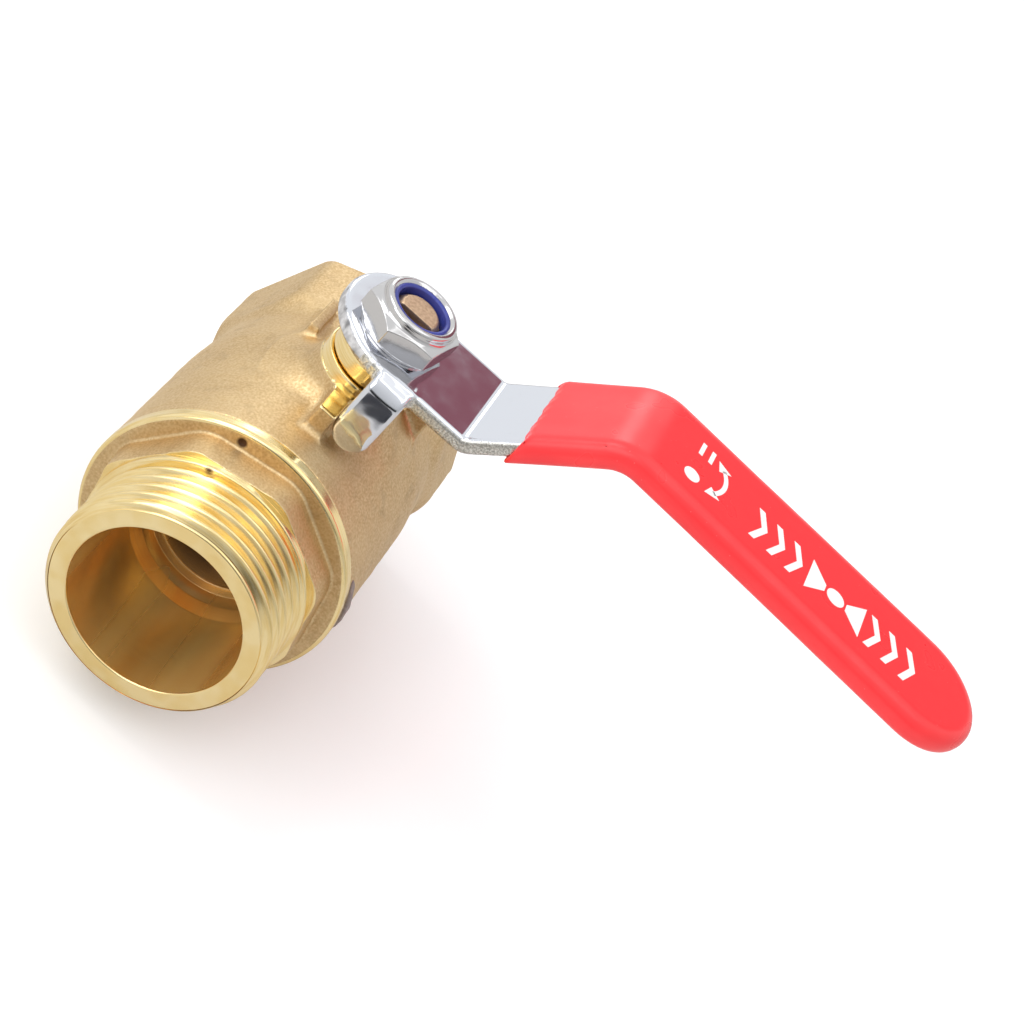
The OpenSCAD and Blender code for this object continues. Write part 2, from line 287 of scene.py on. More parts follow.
SOFT_ANGLE = math.radians(14)
SHARP_ANGLE = math.radians(40)


def field_piece(name, field, low, high, step, body, node, materials, zone=None):
    """Contoured piece whose corner normals come from the field, so that it shades exactly."""
    vertices, quads = contour(field, low, high, step)
    mesh = mesh_from(name, vertices, quads)
    at = vertices[quads]
    middle = at.mean(1, keepdims=True)
    inwards = 0.3
    corners = (at + inwards * (middle - at)).reshape(-1, 3)
    side = gradient(field, corners)
    smooth = gradient(field, vertices)[quads.ravel()]
    agrees = np.einsum("ij,ij->i", side, smooth) > math.cos(SOFT_ANGLE)
    normals = np.where(agrees[:, None], smooth, side)
    mesh.polygons.foreach_set("use_smooth", np.ones(len(quads), bool))
    mesh.normals_split_custom_set(normals)
    add_piece(mesh, body, node, materials, zone)


def softened(profile):
    """Closed profile of (along, radius, corner radius) with its corners rounded by arcs."""
    rows = []
    n = len(profile)
    steps, small_fillet, flank, most = 3, 0.05, 1.6, 0.45
    points = [np.array(p[:2], float) for p in profile]
    for i, p in enumerate(points):
        before, after = points[i - 1] - p, points[(i + 1) % n] - p
        to_before, to_after = np.linalg.norm(before), np.linalg.norm(after)
        before, after = before / to_before, after / to_after
        half = math.acos(max(-1, min(1, float(before @ after)))) / 2
        fillet = profile[i][2] if len(profile[i]) > 2 else small_fillet
        reach = min(fillet / math.tan(half), most * to_before, most * to_after)
        if math.degrees(half) > 89:
            rows.append(p)
            continue
        fillet = reach * math.tan(half)
        way = (before + after) / np.linalg.norm(before + after)
        centre = p + way * fillet / math.sin(half)
        start = p + before * reach - centre
        end = p + after * reach - centre
        sweep = math.atan2(start[0] * end[1] - start[1] * end[0], start @ end)
        rows.append(p + before * min(reach * flank, 0.49 * to_before))
        for k in range(steps + 1):
            a = sweep * k / steps
            turn = np.array([[math.cos(a), -math.sin(a)], [math.sin(a), math.cos(a)]])
            rows.append(centre + turn @ start)
        rows.append(p + after * min(reach * flank, 0.49 * to_after))
    return np.array(rows)


def twice_area(outline):
    """Twice an outline's signed area, positive when it runs anticlockwise."""
    u, v = np.array(outline, float).T
    return float(np.sum(u * np.roll(v, -1) - v * np.roll(u, -1)))


def turned_mesh(name, rows, axis, segments):
    """Ring-shaped mesh swept from a closed profile. rows is (n, 2), or (n, segments, 2)."""
    theta = 2 * math.pi * np.arange(segments) / segments
    if rows.ndim == 2:
        rows = np.repeat(rows[:, None, :], segments, 1)
    n = len(rows)
    along, radius = rows[:, :, 0], rows[:, :, 1]
    c, s = radius * np.cos(theta), radius * np.sin(theta)
    grid = np.stack([along, c, s] if axis == "x" else [c, s, along], 2)
    i, j = np.meshgrid(np.arange(n), np.arange(segments), indexing="ij")
    ahead, beside = (i + 1) % n, (j + 1) % segments
    faces = np.stack([i * segments + j, i * segments + beside,
                      ahead * segments + beside, ahead * segments + j], 2).reshape(-1, 4)
    if twice_area(rows[:, 0]) > 0:
        faces = faces[:, ::-1]
    mesh = mesh_from(name, grid.reshape(-1, 3), faces)
    mesh.polygons.foreach_set("use_smooth", np.ones(len(faces), bool))
    mesh.set_sharp_from_angle(angle=SHARP_ANGLE)
    return mesh


# ---- materials

def feed(tree, sockets, values):
    """Set or link sockets. Each value is a number, a colour or another socket."""
    for socket, value in zip(sockets, values):
        if isinstance(value, bpy.types.NodeSocket):
            tree.links.new(value, socket)
        else:
            socket.default_value = (*value, 1) if isinstance(value, tuple) else value


def map_range(tree, *values, curve="LINEAR"):
    """A value scaled from one range to another and kept inside it."""
    node = tree.nodes.new("ShaderNodeMapRange")
    node.interpolation_type = curve
    feed(tree, node.inputs, values)
    return node.outputs["Result"]


def math_node(tree, operation, *values):
    node = tree.nodes.new("ShaderNodeMath")
    node.operation = operation
    feed(tree, node.inputs, values)
    return node.outputs[0]


def vector_node(tree, operation, a, b):
    """Vector Math node for a socket and a constant vector."""
    node = tree.nodes.new("ShaderNodeVectorMath")
    node.operation = operation
    node.inputs[1].default_value = b
    tree.links.new(a, node.inputs[0])
    return node


def mix_node(tree, share, a, b):
    """Colour between a and b."""
    node = tree.nodes.new("ShaderNodeMix")
    node.data_type = "RGBA"
    feed(tree, [s for s in node.inputs if s.type == "RGBA"], (a, b))
    tree.links.new(share, node.inputs[0])
    return [s for s in node.outputs if s.type == "RGBA"][0]


class Shader:
    """A Principled material and short ways to add nodes to it. Lengths are in millimetres."""

    def __init__(self, name, **sockets):
        self.material = bpy.data.materials.new(name)
        self.material.use_nodes = True
        self.tree = self.material.node_tree
        self.surface = self.tree.nodes["Principled BSDF"]
        for socket, value in sockets.items():
            self.surface.inputs[socket].default_value = value
        place = self.tree.nodes.new("ShaderNodeTexCoord").outputs["Object"]
        self.place = vector_node(self.tree, "MULTIPLY", place, (1 / MM,) * 3).outputs[0]

    def link(self, source, socket):
        self.tree.links.new(source, socket)

    def math(self, operation, *values):
        return math_node(self.tree, operation, *values)

    def noise(self, size, detail, stretch=(1, 1, 1)):
        """Fractal noise whose largest grains are about size millimetres across."""
        node = self.tree.nodes.new("ShaderNodeTexNoise")
        node.inputs["Scale"].default_value = 1 / size
        node.inputs["Detail"].default_value = detail
        stretched = vector_node(self.tree, "MULTIPLY", self.place, stretch)
        self.link(stretched.outputs[0], node.inputs["Vector"])
        return node.outputs["Fac"]

    def cells(self, size):
        """Distance to the nearest of many scattered points, about size millimetres apart."""
        node = self.tree.nodes.new("ShaderNodeTexVoronoi")
        node.inputs["Scale"].default_value = 1 / size
        self.link(self.place, node.inputs["Vector"])
        return node.outputs["Distance"]

    def along(self, axis):
        """Place along the row frame's X or Y axis, in millimetres."""
        node = self.tree.nodes.new("ShaderNodeSeparateXYZ")
        self.link(self.place, node.inputs[0])
        return node.outputs[axis]

    def tones(self, value, low, high, a, b):
        """Colour that goes from a to b as value goes from low to high."""
        return self.mix(self.ramp(value, low, high), a, b)

    def ramp(self, value, low, high, to_low=0.0, to_high=1.0):
        """value scaled from low..high to to_low..to_high, and kept inside it."""
        return map_range(self.tree, value, low, high, to_low, to_high)

    def mix(self, share, a, b):
        return mix_node(self.tree, share, a, b)

    def pitted(self, colour, at):
        """colour, dark in the casting pit at a point."""
        away = vector_node(self.tree, "DISTANCE", self.place, tuple(np.array(at) + CENTRE))
        inside = self.ramp(away.outputs["Value"], 0.6 * PIT_SPOT, PIT_SPOT, 1, 0)
        return self.mix(inside, colour, PIT_COLOUR)

    def colour(self, value):
        self.link(value, self.surface.inputs["Base Color"])

    def rough(self, *ranges):
        """Roughness from a ramp."""
        self.link(self.ramp(*ranges), self.surface.inputs["Roughness"])

    def bump(self, height, depth, strength):
        """Relief of depth millimetres, which can be stacked."""
        node = self.tree.nodes.new("ShaderNodeBump")
        node.inputs["Strength"].default_value = strength
        node.inputs["Distance"].default_value = depth * MM
        self.link(height, node.inputs["Height"])
        socket = self.surface.inputs["Normal"]
        if socket.is_linked:
            self.link(socket.links[0].from_socket, node.inputs["Normal"])
        self.link(node.outputs["Normal"], socket)


FLANGE_X = 22.3
FLANGE_PIT = (FLANGE_X, -6.2, 17.7)
RIM_PIT = (28.9, -7.1, 15.4)
PIT_SPOT = 0.95
PIT_COLOUR = (0.10, 0.055, 0.035)


def cast_brass():
    """Blasted casting: fine grain, broad patches and a few brown stains."""
    s = Shader("cast_brass", Metallic=1.0)
    pattern = s.noise(0.35, 3)
    patches = s.noise(9, 2)
    stain = s.ramp(s.noise(3.2, 3), 0.56, 0.74)
    colour = s.tones(patches, 0.35, 0.65, (0.66, 0.475, 0.25), (0.58, 0.40, 0.195))
    colour = s.tones(pattern, 0.35, 0.7, colour, (0.76, 0.58, 0.33))
    colour = s.mix(s.math("MULTIPLY", stain, 0.35), colour, (0.42, 0.28, 0.14))
    s.colour(s.pitted(colour, FLANGE_PIT))
    s.rough(pattern, 0.3, 0.7, 0.58, 0.42)
    s.bump(pattern, 0.05, 0.7)
    s.bump(s.noise(1.3, 2), 0.08, 0.5)
    return s.material


LINES_ROUND_X = (1, 0.03, 0.03)
LINES_ROUND_Z = (0.03, 0.03, 1)


def turned_brass(name, lines_round, bright):
    """Machined brass with fine turning lines round an axis."""
    s = Shader(name, Metallic=1.0)
    lines = s.noise(0.16, 2, lines_round)
    cloud = s.noise(5, 2)
    colour = s.tones(cloud, 0.35, 0.65, (0.92, 0.71, 0.33), (0.87, 0.64, 0.27))
    colour = s.tones(lines, 0.4, 0.6, colour, (0.96, 0.78, 0.42))
    s.colour(s.pitted(colour, RIM_PIT))
    s.rough(cloud, 0.3, 0.7, bright, bright + 0.08)
    s.bump(lines, 0.012, 0.5)
    return s.material


def bright_plate(name, tint, rough, waves):
    """Bright plating over slightly wavy metal, with small dull specks."""
    s = Shader(name, Metallic=1.0)
    cloud = s.noise(4, 3)
    specks = s.ramp(s.cells(0.9), 0.05, 0.12, 1, 0)
    dull = tuple(0.72 * c for c in tint)
    s.colour(s.mix(s.math("MULTIPLY", specks, s.ramp(cloud, 0.5, 0.65)), tint, dull))
    s.rough(cloud, 0.35, 0.7, rough, rough + 0.08)
    s.bump(s.noise(1.8, 2), waves, 0.5)
    s.bump(s.noise(0.3, 2), 0.003, 0.3)
    return s.material


THROAT_X = (15, 22.5)


def streaked_bore_painted_shade():
    """Machined bore with lighter and darker streaks along it, and painted shade that darkens it
    towards the throat.
    """
    s = Shader("streaked_bore_painted_shade", Metallic=0.74)
    streaks = s.ramp(s.noise(6.5, 1, (0.06, 1, 1)), 0.32, 0.68)
    lines = s.noise(0.2, 2, LINES_ROUND_X)
    # painted shade: the colour turns a dim brown deeper in the bore, towards the throat
    painted_throat_shade = s.ramp(s.along("X"), THROAT_X[0] + CENTRE[0], THROAT_X[1] + CENTRE[0], 1, 0)
    colour = s.mix(streaks, (0.99, 0.74, 0.28), (0.90, 0.52, 0.14))
    s.colour(s.mix(painted_throat_shade, colour, (0.42, 0.29, 0.16)))
    s.rough(streaks, 0, 1, 0.32, 0.22)
    s.bump(lines, 0.03, 0.7)
    return s.material


def dipped_vinyl():
    """Glossy soft vinyl with a faint ripple and settled dust."""
    s = Shader("dipped_vinyl", Roughness=0.3, IOR=1.46)
    cloud = s.noise(7, 2)
    colour = s.tones(cloud, 0.35, 0.65, (0.94, 0.042, 0.047), (0.90, 0.033, 0.039))
    dust = s.ramp(s.cells(1.5), 0.03, 0.06, 1, 0)
    s.colour(s.mix(s.math("MULTIPLY", dust, 0.35), colour, (0.95, 0.35, 0.35)))
    s.rough(cloud, 0.3, 0.7, 0.26, 0.36)
    s.bump(s.noise(3.5, 2), 0.05, 0.35)
    s.bump(dust, 0.03, 0.3)
    return s.material


def printed_ink():
    """White ink, thin in places."""
    s = Shader("printed_ink", Roughness=0.45)
    worn = s.ramp(s.noise(0.5, 3), 0.62, 0.72)
    s.colour(s.mix(s.math("MULTIPLY", worn, 0.35), (0.93, 0.90, 0.88), (0.90, 0.45, 0.45)))
    s.bump(s.noise(0.4, 2), 0.01, 0.4)
    return s.material


def soft_part(name, light, dark, rough, size):
    """Plastic or rubber with slight clouding."""
    s = Shader(name)
    cloud = s.noise(size, 3)
    s.colour(s.tones(cloud, 0.35, 0.65, light, dark))
    s.rough(cloud, 0.3, 0.7, rough, rough + 0.12)
    s.bump(s.noise(size * 0.3, 2), 0.02, 0.4)
    return s.material


def patterned_metal(name, pattern, spread, tones, rough, depth, strength):
    """Bare metal whose colour, gloss and relief all follow one noise: grain on the sheared edge and
    the stem, and dark and bright streaks of painted reflection on the hub's edge.
    """
    s = Shader(name, Metallic=1.0)
    value = s.noise(*pattern)
    s.colour(s.tones(value, *spread, *tones))
    s.rough(value, 0.3, 0.7, *rough)
    s.bump(value, depth, strength)
    return s.material


CAST = cast_brass()
TURNED_X = turned_brass("turned_brass", LINES_ROUND_X, 0.16)
TURNED_Z = turned_brass("turned_brass_boss", LINES_ROUND_Z, 0.14)
LEVER_PLATE = bright_plate("lever_plate", (0.74, 0.76, 0.81), 0.06, 0.001)
NUT_PLATE = bright_plate("nut_plate", (0.62, 0.61, 0.61), 0.10, 0.03)
BALL_PLATE = bright_plate("ball_plate", (0.40, 0.38, 0.36), 0.12, 0.002)
EDGE = patterned_metal("sheared_edge", (0.3, 3), (0.35, 0.65), ((0.42, 0.41, 0.38), (0.88, 0.87, 0.82)),
               (0.45, 0.25), 0.06, 0.8)
# painted reflection: the hub edge's colour runs in dark and bright streaks that stand for the changing
# reflections on its rounded edge
HUB_EDGE_PAINTED_REFLECTION = patterned_metal("hub_edge_painted_reflection", (1.8, 5, (1, 1, 0.7)), (0.34, 0.58),
                   ((0.30, 0.30, 0.31), (0.88, 0.88, 0.90)), (0.22, 0.10), 0.08, 0.7)
BORE = streaked_bore_painted_shade()
VINYL = dipped_vinyl()
INK = printed_ink()
NYLON = soft_part("blue_nylon", (0.045, 0.06, 0.32), (0.03, 0.04, 0.24), 0.25, 2)
PTFE = soft_part("ptfe", (0.86, 0.85, 0.81), (0.78, 0.77, 0.72), 0.4, 3)
RUBBER = soft_part("black_rubber", (0.03, 0.03, 0.03), (0.015, 0.015, 0.015), 0.5, 1.5)
# dark brown-grey lump drawn on the edge of the body joint
DARK_SMEAR = soft_part("sealant", (0.20, 0.15, 0.14), (0.30, 0.24, 0.21), 0.45, 0.8)
STEM = patterned_metal("stem_brass", (0.5, 3), (0.35, 0.65), ((0.62, 0.43, 0.28), (0.78, 0.58, 0.38)),
               (0.5, 0.38), 0.03, 0.6)


# ---- valve body

BARREL_R = 20.4
BARREL_REAR = -20
TAPER_X = -4
NECK_R = 19.3
SHOULDER_X = -15.3
SHOULDER_SLOPE = math.radians(25)
FEMALE_AF = 39.5
FEMALE_THREAD_X = FEMALE_FACE + 14
FEMALE_CREST_R = 15.15
MOUTH_R = 16.9
MACHINED_R = 17.4

BOSS_R = 7.2
BOSS_TOP = body_high[2]
FLARE_HEIGHT = 7.5
LUG_FOOT = 15
LUG_TOP = 24.5
LUG_DRAFT = 0.06
FRONT_LUG = ((6, 13.4), (-1.7, 1.1))
REAR_LUG = ((-10, -7.1), (8.2, 12))
RIB = ((-15.5, -6.5), (-10.5, -8.9), (14, 20.2))
SAND_DEPTH = 0.035
SAND_WAVE = 4.5

SOCKET_R = 17.3
SOCKET_X = 9.5
CAVITY_R = 15.6
SEAT_POCKET_R = 14.25
CONE_STEEPNESS = 2.5
STEM_SEAT_R = 6.6
STEM_SEAT_TOP = 17.84
STEM_HOLE_R = 4.55
GLAND_BORE_R = 6
GLAND_BORE_FOOT = 20.6


def barrel_radius(x):
    """Outside radius of the casting between its joint face and the octagon."""
    past = np.maximum(TAPER_X - x, 0)
    return BARREL_R - 0.11 * past * past / (past + 3)


def lug(x, y, z, x_span, y_span):
    """Cast stop lug with a milled top and one drafted face."""
    draft = LUG_DRAFT * (LUG_TOP - z)
    along = between(x, *x_span) - draft * (x > sum(x_span) / 2)
    sides = blend_max(along, between(y, *y_span), 0.35)
    return blend_max(sides, between(z, LUG_FOOT, LUG_TOP), 0.25)


def stem_tower(x, y, z):
    """Flared foot of the stem boss."""
    rz = np.hypot(x, y)
    flare_r = BOSS_R + 0.15 + 0.075 * np.clip(LUG_TOP - z, 0, FLARE_HEIGHT) ** 2
    return blend_max((rz - flare_r) * 0.75, between(z, 8, LUG_TOP), 0.3)


def female_octagon(x, y, z):
    """Octagon of the female end, cut by the turned cone that forms its shoulder."""
    r = np.hypot(y, z)
    octagon = polygon_field(y, z, FEMALE_AF, 8, 0, 1.0)
    octagon = blend_max(octagon, between(x, FEMALE_FACE, 0), 0.5)
    past_cone = r - NECK_R - (SHOULDER_X - x) * math.tan(SHOULDER_SLOPE)
    return blend_max(octagon, past_cone * math.cos(SHOULDER_SLOPE), 0.7)


def casting(x, y, z):
    """Outside of the body: sand-cast skin and machined boss."""
    r = np.hypot(y, z)
    barrel = blend_max(r - barrel_radius(x), between(x, BARREL_REAR, JOINT_X), 0.3)
    outside = blend_min(barrel, female_octagon(x, y, z), 1.2)
    outside = blend_min(outside, stem_tower(x, y, z), 2.6)
    rib = blend_max(between(x, *RIB[0]), between(y, *RIB[1]), 0.4)
    rib = blend_max(rib, between(z, *RIB[2]), 0.3)
    rear_and_rib = np.minimum(lug(x, y, z, *REAR_LUG), rib)
    outside = blend_min(outside, np.minimum(lug(x, y, z, *FRONT_LUG), rear_and_rib), 1.3)
    sandy = ease(LUG_TOP - z, 0.1, 0.8) * ease(JOINT_X - x, 0.2, 0.9)
    sandy = sandy * ease(x - FEMALE_FACE, 0.3, 1.2)
    outside = outside + SAND_DEPTH * sandy * ripple(x, y, z, SAND_WAVE, 3)
    boss = blend_max(np.hypot(x, y) - BOSS_R, between(z, 10, BOSS_TOP), 0.3)
    return np.minimum(outside, boss)


def female_thread(x, r, theta):
    """Threaded hole with a chamfered mouth."""
    run_out = ease(x, FEMALE_THREAD_X - 2.5, FEMALE_THREAD_X)
    threaded = thread_radius(x, -theta, FEMALE_CREST_R, PITCH, -1)
    wall = threaded * (1 - run_out) + FEMALE_CREST_R * run_out
    wall = np.maximum(wall, MOUTH_R - (x - FEMALE_FACE))
    return np.maximum((r - wall) * 0.6, between(x, FEMALE_FACE - 9, FEMALE_THREAD_X))


def body_hollows(x, y, z):
    """Everything that is cut out of the body."""
    r, rz = np.hypot(y, z), np.hypot(x, y)
    cone = (r - FEMALE_CREST_R + CONE_STEEPNESS * (x - FEMALE_THREAD_X)) * 0.37
    parts = (
        np.maximum(r - SOCKET_R, between(x, SOCKET_X, 30)),
        np.maximum(r - CAVITY_R, between(x, -8, 12)),
        np.maximum(r - SEAT_POCKET_R, between(x, -12.5, 0)),
        np.maximum(r - PASSAGE_R, between(x, -40, 0)),
        female_thread(x, r, np.arctan2(z, y)),
        np.maximum(cone, between(x, FEMALE_THREAD_X - 0.5, FEMALE_THREAD_X + 2.6)),
        np.maximum(rz - STEM_SEAT_R, between(z, 12, STEM_SEAT_TOP)),
        np.maximum(rz - STEM_HOLE_R, between(z, 12, 21)),
        np.maximum(rz - GLAND_BORE_R, between(z, GLAND_BORE_FOOT, 30)),
    )
    return reduce(np.minimum, parts)


def body_field(x, y, z):
    return blend_max(casting(x, y, z), -body_hollows(x, y, z), 0.15)


def body_zone(x, y, z):
    """0 for the blasted casting, 1 for surfaces turned about the flow axis, 2 about the stem."""
    r, rz = np.hypot(y, z), np.hypot(x, y)
    along_x = (r < MACHINED_R) | (x > JOINT_X - 0.12) | (x < FEMALE_FACE + 0.15)
    boss_side = (rz < BOSS_R + 0.12) & (z > 22)
    boss = (z > 18) & (boss_side | (z > LUG_TOP - 0.12))
    return np.where(boss, 2, np.where(along_x, 1, 0))


# ---- end connector

RIM_R = 17.15
RIM_X = MALE_FACE - 11.6
OCTAGON_FRONT_X = RIM_X - 1.2
MALE_FLAT_FOOT = 17.4
MALE_FLAT_FRONT = 17.18
MALE_OCTAGON_TURN = math.radians(34)
MALE_CORNER = 1.9
FLANGE_R = 20.55
FLANGE_FACE_R = 19.5
FLANGE_INNER_R = 18.0
SEGMENTS = 288
FACE_EDGE_R = 15.6
ROOT_FILLET = 0.45
EDGE_ROUND = 0.15
CAST_EDGE_WAVE = 0.09
RIM_EDGE = ((-1.15, 0), (-1.0, 0), (-0.35, 0), (-0.14, 0.02), (-0.04, 0.12), (-0.01, 0.3))
THREAD_STEPS = 20
PIT_R = 0.6


def octagon_radius(theta, flat):
    """Radius of the male end's octagon at an angle, with soft corners."""
    step = math.pi / 4
    from_flat = (theta - MALE_OCTAGON_TURN) % step - step / 2
    near = flat / np.cos(from_flat)
    next_one = flat / np.cos(step - np.abs(from_flat))
    return -blend_max(-near, -next_one, MALE_CORNER)


def dent(x, y, z, at, size):
    """1 at a casting pit, falling to 0 away from it."""
    away = (x - at[0]) ** 2 + (y - at[1]) ** 2 + (z - at[2]) ** 2
    return np.exp(-away / size ** 2)


def octagon_rows(theta):
    """Rows from the flange's cast face over the octagon to the machined rim."""
    foot = octagon_radius(theta, MALE_FLAT_FOOT)
    y, z = FLANGE_INNER_R * np.cos(theta), FLANGE_INNER_R * np.sin(theta)
    uneven = ripple(FLANGE_X, y, z, 3.0, 11)
    front = octagon_radius(theta, MALE_FLAT_FRONT) + CAST_EDGE_WAVE * uneven
    to_foot = foot + ROOT_FILLET - FLANGE_FACE_R
    rows = [(FLANGE_X, FLANGE_FACE_R + to_foot * share) for share in np.linspace(0, 0.9, 7)]
    for a in np.linspace(0, math.pi / 2, 5):
        x = FLANGE_X + ROOT_FILLET * (1 - math.cos(a))
        rows.append((x, foot + ROOT_FILLET * (1 - math.sin(a))))
    start, end = FLANGE_X + ROOT_FILLET, OCTAGON_FRONT_X - EDGE_ROUND
    for share in np.linspace(0.1, 1, 8):
        rows.append((start + (end - start) * share, foot + (front - foot) * share))
    for a in np.linspace(0.4, math.pi / 2, 4):
        edge = front - EDGE_ROUND * (1 - math.cos(a))
        rows.append((end + EDGE_ROUND * math.sin(a), np.maximum(edge, RIM_R + 0.04)))
    for share in (0.35, 0.7, 1):
        inwards = (front - EDGE_ROUND) * (1 - share) + RIM_R * share
        rows.append((OCTAGON_FRONT_X, np.maximum(inwards, RIM_R + 0.04 - 0.02 * share)))
    return rows + [(RIM_X + along, RIM_R - drop) for along, drop in RIM_EDGE]


def thread_rows(theta):
    """Rows of the helical thread, from the machined rim to the chamfer at the face."""
    rows = []
    for x in np.arange(RIM_X, MALE_FACE - 0.05, PITCH / THREAD_STEPS):
        fade = ease(x, RIM_X, RIM_X + 0.35)
        r = (RIM_R - 0.4) * (1 - fade) + thread_radius(x, theta, THREAD_R, PITCH, 1) * fade
        chamfer = FACE_EDGE_R + MALE_FACE - x + 0 * theta
        rows.append((x, -blend_max(-r, -chamfer, 0.2)))
    return rows


def end_profile():
    """Rounded profiles of the plain turned parts, before and after the octagon and thread."""
    plug = [(8.2, 14.25, 0.2), (8.2, 15.5, 0.2), (10.5, 15.5, 0.05), (10.5, PLUG_R, 0.2),
            (JOINT_X, PLUG_R, 0.05), (JOINT_X + 0.08, FLANGE_R, 0.25), (FLANGE_X, FLANGE_R, 0.6),
            (FLANGE_X, FLANGE_INNER_R, 0.1)]
    bore = [(MALE_FACE, FACE_EDGE_R, 0.25), (MALE_FACE, BORE_R, 0.3), (21.3, BORE_R, 0.25),
            (19.3, 11.9, 0.5), (17, 11.6, 0.15), (17, PASSAGE_R, 0.3), (12.5, PASSAGE_R, 0.2),
            (12.5, 14.25, 0.1)]
    soft = softened(plug + bore)
    on_flange = [i for i, p in enumerate(soft) if p[0] > FLANGE_X - 0.01 and p[1] > FLANGE_FACE_R]
    on_face = [i for i, p in enumerate(soft) if p[0] > MALE_FACE - 0.4 and p[1] > FACE_EDGE_R - 0.2]
    return soft[:on_flange[-1] + 1], soft[on_face[0]:]


def end_zone(x, y, z):
    """0 for the turned surfaces, 1 for the cast octagon and flange face, 2 for the bore."""
    r = np.hypot(y, z)
    cast = (x > FLANGE_X - 0.45) & (x < OCTAGON_FRONT_X - 0.06) & (r > 16) & (r < FLANGE_FACE_R + 0.3)
    bore = (r < BORE_R + 0.1) & (x < MALE_FACE - 0.3)
    return np.where(cast, 1, np.where(bore, 2, 0))


def make_end_connector():
    theta = 2 * math.pi * np.arange(SEGMENTS) / SEGMENTS
    before, after = end_profile()
    rows = [*before, *octagon_rows(theta), *thread_rows(theta), *after]
    grid = np.stack([np.stack([x + 0 * theta, r + 0 * theta], 1) for x, r in rows])
    y, z = grid[:, :, 1] * np.cos(theta), grid[:, :, 1] * np.sin(theta)
    grid[:, :, 0] -= 0.3 * dent(grid[:, :, 0], y, z, FLANGE_PIT, PIT_R)
    grid[:, :, 1] -= 0.45 * dent(grid[:, :, 0], y, z, RIM_PIT, PIT_R)
    mesh = turned_mesh("end_connector_turned", grid, "x", SEGMENTS)
    add_piece(mesh, "root", "end_connector", [TURNED_X, CAST, BORE], end_zone)


# ---- ball, seats and stem parts

BALL_R = 15
PLATED_R = 14.98
SLOT_X, SLOT_Y, SLOT_FLOOR = 5.1, 2.2, 11.6

SEAT_BACK_X = 12.48
SEAT_INNER_R, SEAT_TOUCH_R, SEAT_SHOULDER_R, SEAT_OUTER_R = 10.1, 11.2, 12.6, 14.2
SEAT_GAP = 0.05
FIT = 0.01

BLADE_X, BLADE_Y, BLADE_TOP = 4.5, 2.1, 16
STEM_FOOT = 15.7
COLLAR_R, COLLAR_TOP = 6.4, 17.0
JOURNAL_R, JOURNAL_TOP = 4.5, 30.9
GROOVE, GROOVE_R = (18.35, 20.05), 3.05
M8_R, M8_PITCH = 4.0, 1.25
POINT_R = 3.45
FLAT_X, FLAT_DEPTH = 2.65, 1.15

GLAND_TURN = math.radians(60)
GLAND_HEAD, GLAND_HEAD_R, GLAND_HALF_FLATS = (26.8, 30.0), 6.9, 6
GLAND_SHANK, GLAND_SHANK_R = (25.01, 28), 5.97
GLAND_HOLE_R = 4.56


def ball_field(x, y, z):
    """Ball with its bore and the stem's slot."""
    sphere = np.sqrt(x * x + y * y + z * z) - PLATED_R
    bore = np.hypot(x, z) - PASSAGE_R
    slot = np.maximum(between(x, -SLOT_X, SLOT_X), between(y, -SLOT_Y, SLOT_Y))
    slot = np.maximum(slot, SLOT_FLOOR - z)
    return blend_max(blend_max(sphere, -bore, 0.6), -slot, 0.25)


def ring(name, node, material, profile, axis, body="root"):
    add_piece(turned_mesh(name, softened(profile), axis, 128), body, node, [material])


def band(low, high, inner, outer, fillet=0.1):
    """Profile of a plain ring."""
    return [(low, inner, fillet), (low, outer, fillet), (high, outer, fillet), (high, inner, fillet)]


def make_seats():
    """Two seats, each with a cone that touches the ball."""
    touch_x = math.sqrt(BALL_R ** 2 - SEAT_TOUCH_R ** 2)
    slope = SEAT_TOUCH_R / touch_x
    inner_x = touch_x + SEAT_GAP + slope * (SEAT_TOUCH_R - SEAT_INNER_R)
    shoulder_x = touch_x + SEAT_GAP - slope * (SEAT_SHOULDER_R - SEAT_TOUCH_R)
    seat = [(SEAT_BACK_X, SEAT_INNER_R), (inner_x, SEAT_INNER_R), (shoulder_x, SEAT_SHOULDER_R, 0.1),
            (shoulder_x, SEAT_OUTER_R, 0.2), (SEAT_BACK_X, SEAT_OUTER_R, 0.2)]
    for side, name in ((1, "front"), (-1, "rear")):
        profile = [(side * p[0], *p[1:]) for p in seat]
        ring(f"seat_{name}_ptfe", f"seat_ring_{name}", PTFE, profile, "x")


def make_rings():
    ring("joint_seal_ptfe", "body_joint_seal", PTFE, band(9.52, 10.48, 15.62, 17.18), "x")
    ring("thrust_washer_ptfe", "thrust_washer", PTFE, band(17.05, 17.83, 4.66, 6.48), "z")
    for name in ("lower", "middle", "upper"):
        low, high = span(f"packing_ring_{name}")
        profile = band(low[2] + FIT, high[2] - FIT, 4.56, 5.99, 0.15)
        ring(f"packing_{name}_ptfe", f"packing_ring_{name}", PTFE, profile, "z")
    low, high = span("gland_follower")
    profile = band(low[2], high[2] - FIT, 4.57, 5.94)
    ring("follower_turned", "gland_follower", TURNED_Z, profile, "z")


def make_o_ring():
    low, high = span("stem_o_ring")
    section = (high[2] - low[2]) / 2
    middle = (high[2] + low[2]) / 2
    circle = [(middle + section * math.sin(a), high[0] - section + section * math.cos(a))
              for a in np.linspace(0, 2 * math.pi, 20, endpoint=False)]
    mesh = turned_mesh("o_ring_rubber", np.array(circle), "z", 96)
    add_piece(mesh, "lever_group", "stem_o_ring", [RUBBER])


